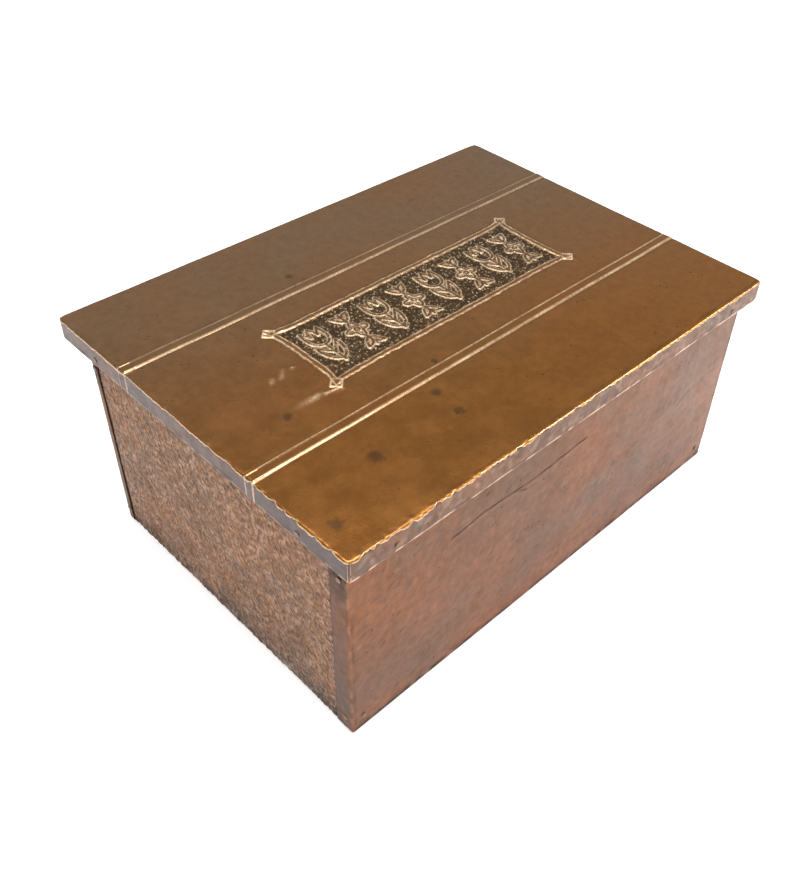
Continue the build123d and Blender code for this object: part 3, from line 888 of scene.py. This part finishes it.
# %% The lid's edging
EDGE_X, EDGE_Y = LID_X - 0.5, LID_Y - 0.5
EDGE_TOP = LID_TOP - 0.3
EDGE_ARRIS = 1.3
EDGE_STEP = 1.1
EDGE_ROWS = 13
TURN = 2.0
FOLD = 1.3
FLANGE = 14.0


def loop(half_x, half_y, step, height):
    """A closed loop of edges round a rectangle: a circle whose places are moved onto it."""
    across, deep = round(2 * half_x / step), round(2 * half_y / step)
    places = [(-half_x + 2 * half_x * i / across, -half_y) for i in range(across)]
    places += [(half_x, -half_y + 2 * half_y * i / deep) for i in range(deep)]
    wire = bmesh.new()
    ring = bmesh.ops.create_circle(wire, segments=2 * len(places), radius=1.0)["verts"]
    for v, (x, y) in zip(ring, places + [(-x, -y) for x, y in places]):
        v.co = (x, y, height)
    return wire


def over_arris(start, out, angle):
    """A place on the rounding between the lid's top and its side."""
    set_back, drop = EDGE_ARRIS * (1 - math.sin(angle)), EDGE_ARRIS * (1 - math.cos(angle))
    return start + out * (TURN - set_back) - Vector((0, 0, drop))


def round_fold(start, out, angle):
    """A place on the fold at the foot of the side."""
    set_back, lift = FOLD * (1 - math.cos(angle)), FOLD * (1 - math.sin(angle))
    return Vector((start.x, start.y, LID_BOTTOM + lift)) + out * (TURN - set_back)


def under(start, out, depth):
    """A place under the lid, in from its edge by depth, mitred at the corners."""
    place = start + out * TURN
    on_x_side = abs(start.x) > EDGE_X - TURN - 0.01
    on_y_side = abs(start.y) > EDGE_Y - TURN - 0.01
    far_x, far_y = EDGE_X - depth, EDGE_Y - depth
    x = math.copysign(far_x, place.x) if on_x_side else max(-far_x, min(far_x, place.x))
    y = math.copysign(far_y, place.y) if on_y_side else max(-far_y, min(far_y, place.y))
    return Vector((x, y, LID_BOTTOM))


edging = loop(EDGE_X - TURN, EDGE_Y - TURN, EDGE_STEP, EDGE_TOP)
facts = rim_facts(edging, EDGE_X - TURN, EDGE_Y - TURN, RIM_CORNER)
for v, (start, out) in facts.items():
    v.co = start - out * 4.0
for angle in (0, 30, 60, 90):
    facts = grow_rim(edging, facts, lambda start, out: over_arris(start, out, math.radians(angle)))
for level in np.linspace(EDGE_TOP - EDGE_ARRIS - 1.2, LID_BOTTOM + FOLD, EDGE_ROWS):
    facts = grow_rim(edging, facts, lambda start, out: Vector((start.x, start.y, level)) + out * TURN)
for angle in (30, 60, 90):
    facts = grow_rim(edging, facts, lambda start, out: round_fold(start, out, math.radians(angle)))
for depth in (5.0, FLANGE):
    facts = grow_rim(edging, facts, lambda start, out: under(start, out, depth))
bmesh.ops.remove_doubles(edging, verts=edging.verts, dist=0.001)
face_outwards(edging, 0, 1)
back_up(edging, 0.3)
lid_edging = piece("lid_copper_edging", edging, "lid", edging_copper, "lid_copper_sheet")

# %% The lid's edging: dents, wear and painted highlight
places, normals, outer = read(lid_edging)
p, n = places[outer], normals[outer]
over_fold = p[:, 2] - LID_BOTTOM
upright = ease((over_fold - 0.2) / 1.2) * ease((EDGE_TOP + 0.3 - p[:, 2]) / 2)
at_front, on_end = n[:, 1] < -0.5, abs(n[:, 0]) > 0.7
height = 0.1 * rough(p, 26, 30) + 0.06 * rough(p, 8, 31)
height += np.where(at_front, 0.14 * rough(p, 4.5, 35), 0)
# a bright line along the bottom fold: wear and painted highlight
wear_and_highlight = 0.95 * ridge(over_fold - 1.2 - 0.5 * rough(p, 6, 34), 0.9) * ease(0.55 + 1.8 * rough(p, 7, 32))
wear_and_highlight = np.where(n[:, 0] < -0.5, 0.35 * wear_and_highlight, wear_and_highlight)
wear_and_highlight = np.where(at_front, np.maximum(wear_and_highlight, 0.12 * ease(rough(p, 6, 36) * 2)), wear_and_highlight)
grime_and_shade = 0.6 * ridge(over_fold - 3.0, 0.8) * ease(0.35 + 1.5 * rough(p, 10, 33))
grime_and_shade = np.where(at_front, np.maximum(grime_and_shade, 0.25 * ease(rough(p, 7, 37) * 2)), grime_and_shade)
for band in BAND_Y:
    t = abs(p[:, 1] - band)
    height += np.where(on_end, raised_strip(t, BAND_HALF, 0.4, 0.3, BAND_LIP), 0)
    # bright band edges on the ends: wear and painted highlight
    wear_and_highlight = np.maximum(wear_and_highlight, np.where(on_end, 0.7 * ridge(t - BAND_HALF, 0.5), 0))
height = np.clip(height, -0.2, np.where(on_end, 0.9, 0.3)) * upright
height = np.where(p[:, 2] > LID_TOP - 6, np.minimum(height, 0.25), height)
work(lid_edging, places, outer, n, height, {"wear_and_highlight": wear_and_highlight * upright, "grime_and_shade": grime_and_shade * upright})
print("worked", int(outer.sum()), "places of the edging")

# %% [markdown]
# ## The sheets on the ends
#
# Each end sheet is folded over the rim and under the bottom, so from the side it is a shallow C.
# Its face is hammered all over with a small round-faced hammer: thousands of little bowls that meet
# in rims. Its colour paints a highlight in the middle of each bowl and shade along the rims. A
# Voronoi pattern is made of just such cells, so the height at each vertex comes from its distance
# to the nearest cell point.

# %% Folding a blank
BEND = 1.5
QUARTER = BEND * math.pi / 2


def past_fold(length, level, way):
    """Set back and height of a place a length past the face's edge: on the fold or the flange."""
    if length < QUARTER:
        angle = length / BEND
        return BEND * (1 - math.cos(angle)), level + way * BEND * (1 - math.sin(angle))
    return BEND + length - QUARTER, level


def folded(length, low, high):
    """Set back and height of a place on the blank, by its length above the face's lower edge."""
    face = high - low - 2 * BEND
    if length < 0:
        return past_fold(-length, low, 1)
    if length > face:
        return past_fold(length - face, high, -1)
    return 0.0, low + BEND + length


def past_edge(reach, step):
    """The lengths past a face's edge at which rows stand: three round the bend, then on the flat."""
    bend = [QUARTER / 3, QUARTER * 2 / 3, QUARTER]
    return bend + line_up(QUARTER, QUARTER + reach - BEND, step)[1:]


def fold_rows(low, high, flange, step):
    """The lengths along the blank at which its rows stand, from one flange's edge to the other's."""
    face = high - low - 2 * BEND
    past = past_edge(flange, 3.0)
    return [-length for length in reversed(past)] + line_up(0, face, step) + [face + u for u in past]

# %% The end sheets
TUCK = 0.12              # the end sheets' flanges lie this far inside those of the long sheets
END_FLANGE = 12.0
END_STEPS = (0.68, 0.92)
UNDERLAP = 1.4           # the end sheets reach this far under the laps of the long ones
WALL_SHEET = 0.6
HAMMER = 2.7
CUT = [(-96, 66), (-84, 50), (-76, 44)]


def end_sheet(name, side):
    """An end sheet, folded and backed, before it is hammered."""
    low, high = TUCK, RIM - TUCK
    columns = line_up(FRONT_Y + FRONT_LAP - UNDERLAP, BACK_Y - BACK_LAP + UNDERLAP, END_STEPS[0])
    blank = grid(columns, fold_rows(low, high, END_FLANGE, END_STEPS[1]))
    for v in blank.verts:
        back, level = folded(v.co.y, low, high)
        v.co = (side * (END_X - back), v.co.x, level)
    face_outwards(blank, 0, side)
    back_up(blank, WALL_SHEET)
    return piece(name + "_hammered", blank, "box", hammered_copper, name)


def hammer(sheet, seed):
    """Beats the little bowls into an end sheet, and paints a highlight in each bowl and shade on the lines
    where they meet.
    """
    places, normals, outer = read(sheet)
    p, n = places[outer], normals[outer]
    y, z = p[:, 1], p[:, 2]
    face = ease((abs(n[:, 0]) - 0.8) * 8)
    edge = np.minimum(y - FRONT_Y - FRONT_LAP, BACK_Y - BACK_LAP - y)
    calm = face * ease(edge / 3)
    drift = 2.5 * rough(p, 26, seed)
    lean = np.column_stack([0 * drift, 0.91 * y - 0.42 * z + drift, 0.7 * (0.42 * y + 0.91 * z)])
    near, second = cells(lean, HAMMER, seed + 1)
    small = cells(lean + 7.7, HAMMER * 0.55, seed + 2)[0]
    height = 1.4 * (near ** 2 - 0.22) + 0.6 * (small ** 2 - 0.22)
    height += 0.15 * rough(p, 40, seed + 3) + 0.08 * rough(p, 12, seed + 4)
    # painted highlight in the middle of each bowl, on a faint even wear
    wear_and_highlight = 0.15 + 0.55 * ease(1.3 - near / 0.5) * ease(0.6 + rough(p, 9, seed + 5))
    # painted shade along the rims where the bowls meet
    painted_rim_shade = ease(1 - (second - near) / 0.2) * ease(0.8 + rough(p, 7, seed + 6))
    low_down = ease(1 - z / 24) * ease(0.6 + 1.2 * rough(p, 16, seed + 7))
    grime_and_shade = 0.85 * painted_rim_shade + 0.85 * low_down
    # painted shade under the lid's overhang, along the top of the sheet
    grime_and_shade = np.maximum(grime_and_shade, 0.7 * ease((z - 158) / 12))
    grime_and_shade = np.maximum(grime_and_shade, 0.6 * ease(1 - edge / 2.0))
    cut = distance_to(CUT, y, z)
    height -= 0.35 * ridge(cut, 0.8)
    grime_and_shade = np.maximum(grime_and_shade, 0.6 * ridge(cut, 0.7))
    height = np.clip(height * calm, -0.3, 0.6)
    work(sheet, places, outer, n, height, {"wear_and_highlight": wear_and_highlight * calm, "grime_and_shade": grime_and_shade * face})
    print("hammered", int(outer.sum()), "places of", sheet.name)


hammer(end_sheet("left_copper_sheet", -1), 40)
hammer(end_sheet("right_copper_sheet", 1), 60)

# %% [markdown]
# ## The long sheets
#
# The front and back sheets are folded like the ends, and their sides are then bent round the
# corners of the box and lap over the end sheets, where tacks hold them. At each corner the flanges
# would overlap, so they are cut to a mitre: a place that would pass the corner's diagonal is held
# on it.

# %% Bending a blank round the corners
def round_corner(along, back):
    """Distance from the box's middle and depth behind the face, for a place on the blank."""
    flat = BODY_X - BEND
    if along <= flat:
        x, deep = along, back
    elif along < flat + QUARTER:
        angle = (along - flat) / BEND
        x, deep = flat + (BEND - back) * math.sin(angle), BEND - (BEND - back) * math.cos(angle)
    else:
        x, deep = BODY_X - back, BEND + along - flat - QUARTER
    return min(x, BODY_X - back), max(deep, back)


HINGE_X = 135.0
LEAF_HALF = 25.0
LONG_STEP = 1.3


def long_sheet(name, front, lap, flange):
    """The front or back sheet, folded, bent round the corners and backed.

    The back sheet's upper flange is cut away where the hinge leaves lie.
    """
    side = -1 if front else 1
    face_y = FRONT_Y if front else BACK_Y
    flat = BODY_X - BEND
    past = past_edge(lap, LONG_STEP)
    keep = () if front else [way * HINGE_X + end for way in (-1, 1) for end in (-LEAF_HALF, LEAF_HALF)]
    columns = [-flat - u for u in reversed(past)] + line_up(-flat, flat, LONG_STEP, keep)
    blank = grid(columns + [flat + u for u in past], fold_rows(0.0, RIM, flange, LONG_STEP))
    if not front:
        high_row = RIM - 2 * BEND - 0.01
        cut = [f for f in blank.faces if f.calc_center_median().y > high_row
               and abs(abs(f.calc_center_median().x) - HINGE_X) < LEAF_HALF]
        bmesh.ops.delete(blank, geom=cut, context="FACES")
    for v in blank.verts:
        back, level = folded(v.co.y, 0.0, RIM)
        x, deep = round_corner(abs(v.co.x), back)
        v.co = (math.copysign(x, v.co.x), face_y - side * deep, level)
    bmesh.ops.remove_doubles(blank, verts=blank.verts, dist=0.002)
    face_outwards(blank, 1, side)
    back_up(blank, WALL_SHEET)
    return piece(name + "_planished", blank, "box", planished_copper, name)

# %% Planishing and ageing the long sheets
CREASES = (              # the lines of the front's creases, and how deep they are
    ([(-121, 132), (-90, 136), (-40, 133), (17, 137)], 0.5),
    ([(-60, 134), (-48, 128)], 0.3))


def planish(sheet, front, lap, seed):
    """Gives a long sheet its gentle waves, short strokes, dark foot and laps, painted shade under the lid,
    and the front its creases.
    """
    face_y = FRONT_Y if front else BACK_Y
    places, normals, outer = read(sheet)
    p, n = places[outer], normals[outer]
    x, y, z = p[:, 0], p[:, 1], p[:, 2]
    upright = ease((np.minimum(z, RIM - z)) / 2)
    height = 0.25 * rough(p, 60, seed) + 0.12 * rough(p, 20, seed + 1) + 0.06 * rough(p, 6, seed + 2)
    height += 0.06 * (cells(p, 7.0, seed + 3)[0] ** 2 - 0.25)
    turned = np.column_stack([(0.8 * x + 0.6 * z) / 2.8, y, 0.8 * z - 0.6 * x])
    stroke = ease(1.7 - cells(turned, 6.5, seed + 10)[0] / 0.15) * ease(0.7 + 1.5 * rough(p, 50, seed + 11))
    height -= 0.12 * stroke
    wear_and_highlight = 0.07 * ease(rough(p, 6, seed + 4) * 2 - 0.3)
    corner = ridge(np.hypot(abs(x) - BODY_X, y - face_y), 1.6) * ease(0.5 + rough(p, 9, seed + 5))
    # a bright line down each corner: wear and painted highlight
    wear_and_highlight = np.maximum(wear_and_highlight, 0.35 * corner)
    by_corner = ridge(abs(x) - BODY_X + 2.6, 1.3) * ease(0.5 + rough(p, 12, seed + 12))
    on_lap = ease((abs(x) - BODY_X + 0.6) / 0.4)
    # darker laps, and towards their tops verdigris with painted shade under the lid
    lap_grime_and_shade = (0.4 + 0.5 * ease((z - 125) / 30)) * (0.8 + 0.4 * rough(p, 5, seed + 8))
    grime_and_shade = 0.5 * ease(1 - z / 16) * ease(0.5 + rough(p, 14, seed + 6) * 1.5)
    # among these darkenings: painted shade under the lid's overhang, along the top of the sheet
    for darkening in (0.5 * by_corner, 0.65 * ease((z - 160) / 10), 0.36 * stroke, on_lap * lap_grime_and_shade,
                 on_lap * 0.9 * ridge(abs(abs(y - face_y) - lap), 0.9)):
        grime_and_shade = np.maximum(grime_and_shade, darkening)
    for line, depth in CREASES if front else ():
        crease, below = distance_to(line, x, z), distance_to(line, x, z + 1.5)
        height += depth * (0.6 * ridge(below, 0.9) - ridge(crease, 0.8)) * (y < FRONT_Y + 1)
        wear_and_highlight = np.maximum(wear_and_highlight, 0.3 * ridge(distance_to(line, x, z + 1.3), 0.8))
        grime_and_shade = np.maximum(grime_and_shade, 0.95 * ridge(crease, 0.9))
    foot = ease(1.6 - z / 4.5) * ease(0.8 + rough(p, 9, seed + 9) * 1.8)
    grime_and_shade = np.maximum(grime_and_shade * upright, 0.9 * foot)
    height = np.clip(height * upright, -0.5, 0.6)
    work(sheet, places, outer, n, height, {"wear_and_highlight": wear_and_highlight, "grime_and_shade": grime_and_shade})
    print("planished", int(outer.sum()), "places of", sheet.name)


planish(long_sheet("front_copper_sheet", True, FRONT_LAP, 12.0), True, FRONT_LAP, 80)
planish(long_sheet("back_copper_sheet", False, BACK_LAP, 7.0), False, BACK_LAP, 100)

# %% [markdown]
# ## Wood, brass and steel
#
# The boards, hinges, screws, nails and tacks keep their CAD shapes. Pine is pale with darker rings,
# which show as long lines along the board, so the noise is stretched along the grain. Brass is
# yellow and dull with age, and the tacks are copper like the sheets, with tarnish in patches.

# %% Board grain
grain, given, out = group(
    "board_grain",
    [("Vector", VECTOR, None), ("Pale", COLOUR, None), ("Dark", COLOUR, None)],
    [("Color", COLOUR), ("Height", NUMBER)])
rings = cloud(grain, given["Vector"], 60.0, 5.0, 0.6, 0.8)
fibres = cloud(grain, given["Vector"], 420.0, 3.0, 0.6)
ringed = times(grain, stretch(grain, rings, 0.35, 0.65), 0.75)
share = plus(grain, ringed, times(grain, fibres, 0.35), clamp=True)
connect(grain, out["Color"], mix_colour(grain, share, given["Pale"], given["Dark"]))
connect(grain, out["Height"], share)
print("grain:", len(grain.nodes), "nodes")

# %% Pine and plain metals
def pine(name, squeeze, pale, dark):
    """Old pine whose grain runs along the axis that is squeezed."""
    material = new_material(name)
    tree = material.node_tree
    turned = add(tree, "ShaderNodeMapping", {"Vector": object_place(tree), "Scale": squeeze})
    wood = use(tree, grain, {"Vector": turned.outputs["Vector"], "Pale": pale, "Dark": dark})
    bump = add(tree, "ShaderNodeBump", {"Height": wood["Height"], "Strength": 0.25, "Distance": 0.0006})
    surface(tree, {"Base Color": wood["Color"], "Roughness": 0.62, "Normal": bump.outputs["Normal"]})
    return material


def plain_metal(name, base, tarnish, roughness):
    """A metal with tarnish in drifting patches."""
    material = new_material(name)
    tree = material.node_tree
    place = object_place(tree)
    patch = stretch(tree, cloud(tree, place, 160.0, 5.0, 0.65), 0.35, 0.7)
    finish = stretch(tree, patch, 0.0, 1.0, *roughness)
    bump = add(tree, "ShaderNodeBump",
               {"Height": cloud(tree, place, 900.0), "Strength": 0.08, "Distance": 0.0005})
    surface(tree, {"Base Color": mix_colour(tree, patch, base, tarnish), "Metallic": 1.0,
                   "Roughness": finish, "Normal": bump.outputs["Normal"]})
    return material

# %% Materials of the CAD pieces
PALE, DARK = (0.56, 0.36, 0.18, 1.0), (0.33, 0.17, 0.07, 1.0)
along_x = pine("pine_along_the_box", (0.06, 1.0, 1.0), PALE, DARK)
along_y = pine("pine_across_the_box", (1.0, 0.06, 1.0), PALE, DARK)
batten_pine = pine("batten_pine", (1.0, 0.05, 1.0), (0.5, 0.31, 0.15, 1.0), (0.3, 0.15, 0.06, 1.0))
brass = plain_metal("hinge_brass", (0.78, 0.55, 0.24, 1.0), (0.35, 0.22, 0.09, 1.0), (0.28, 0.5))
screw_brass = plain_metal("screw_brass", (0.8, 0.58, 0.27, 1.0), (0.4, 0.26, 0.11, 1.0), (0.25, 0.45))
steel = plain_metal("old_steel", (0.5, 0.47, 0.44, 1.0), (0.2, 0.13, 0.09, 1.0), (0.3, 0.6))
tack_copper = plain_metal("tack_copper", (0.26, 0.15, 0.1, 1.0), (0.1, 0.09, 0.06, 1.0), (0.3, 0.45))

FINISHES = {
    along_x: ("front_board", "back_board", "bottom_board", "lid_board_front", "lid_board_rear"),
    along_y: ("left_end_board", "right_end_board"),
    batten_pine: ("lid_batten_left", "lid_batten_right"),
    brass: ("hinge_left_box_leaf", "hinge_right_box_leaf", "hinge_left_lid_leaf", "hinge_right_lid_leaf"),
    screw_brass: ("batten_screws", "box_leaf_screws", "lid_leaf_screws"),
    steel: ("hinge_left_pin", "hinge_right_pin", "carcass_nails", "bottom_nails"),
    tack_copper: ("body_copper_tacks", "lid_copper_tacks"),
}
for material, names in FINISHES.items():
    for name in names:
        for material_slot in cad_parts[name].material_slots:
            material_slot.material = material
    print(material.name, "on", len(names), "nodes")
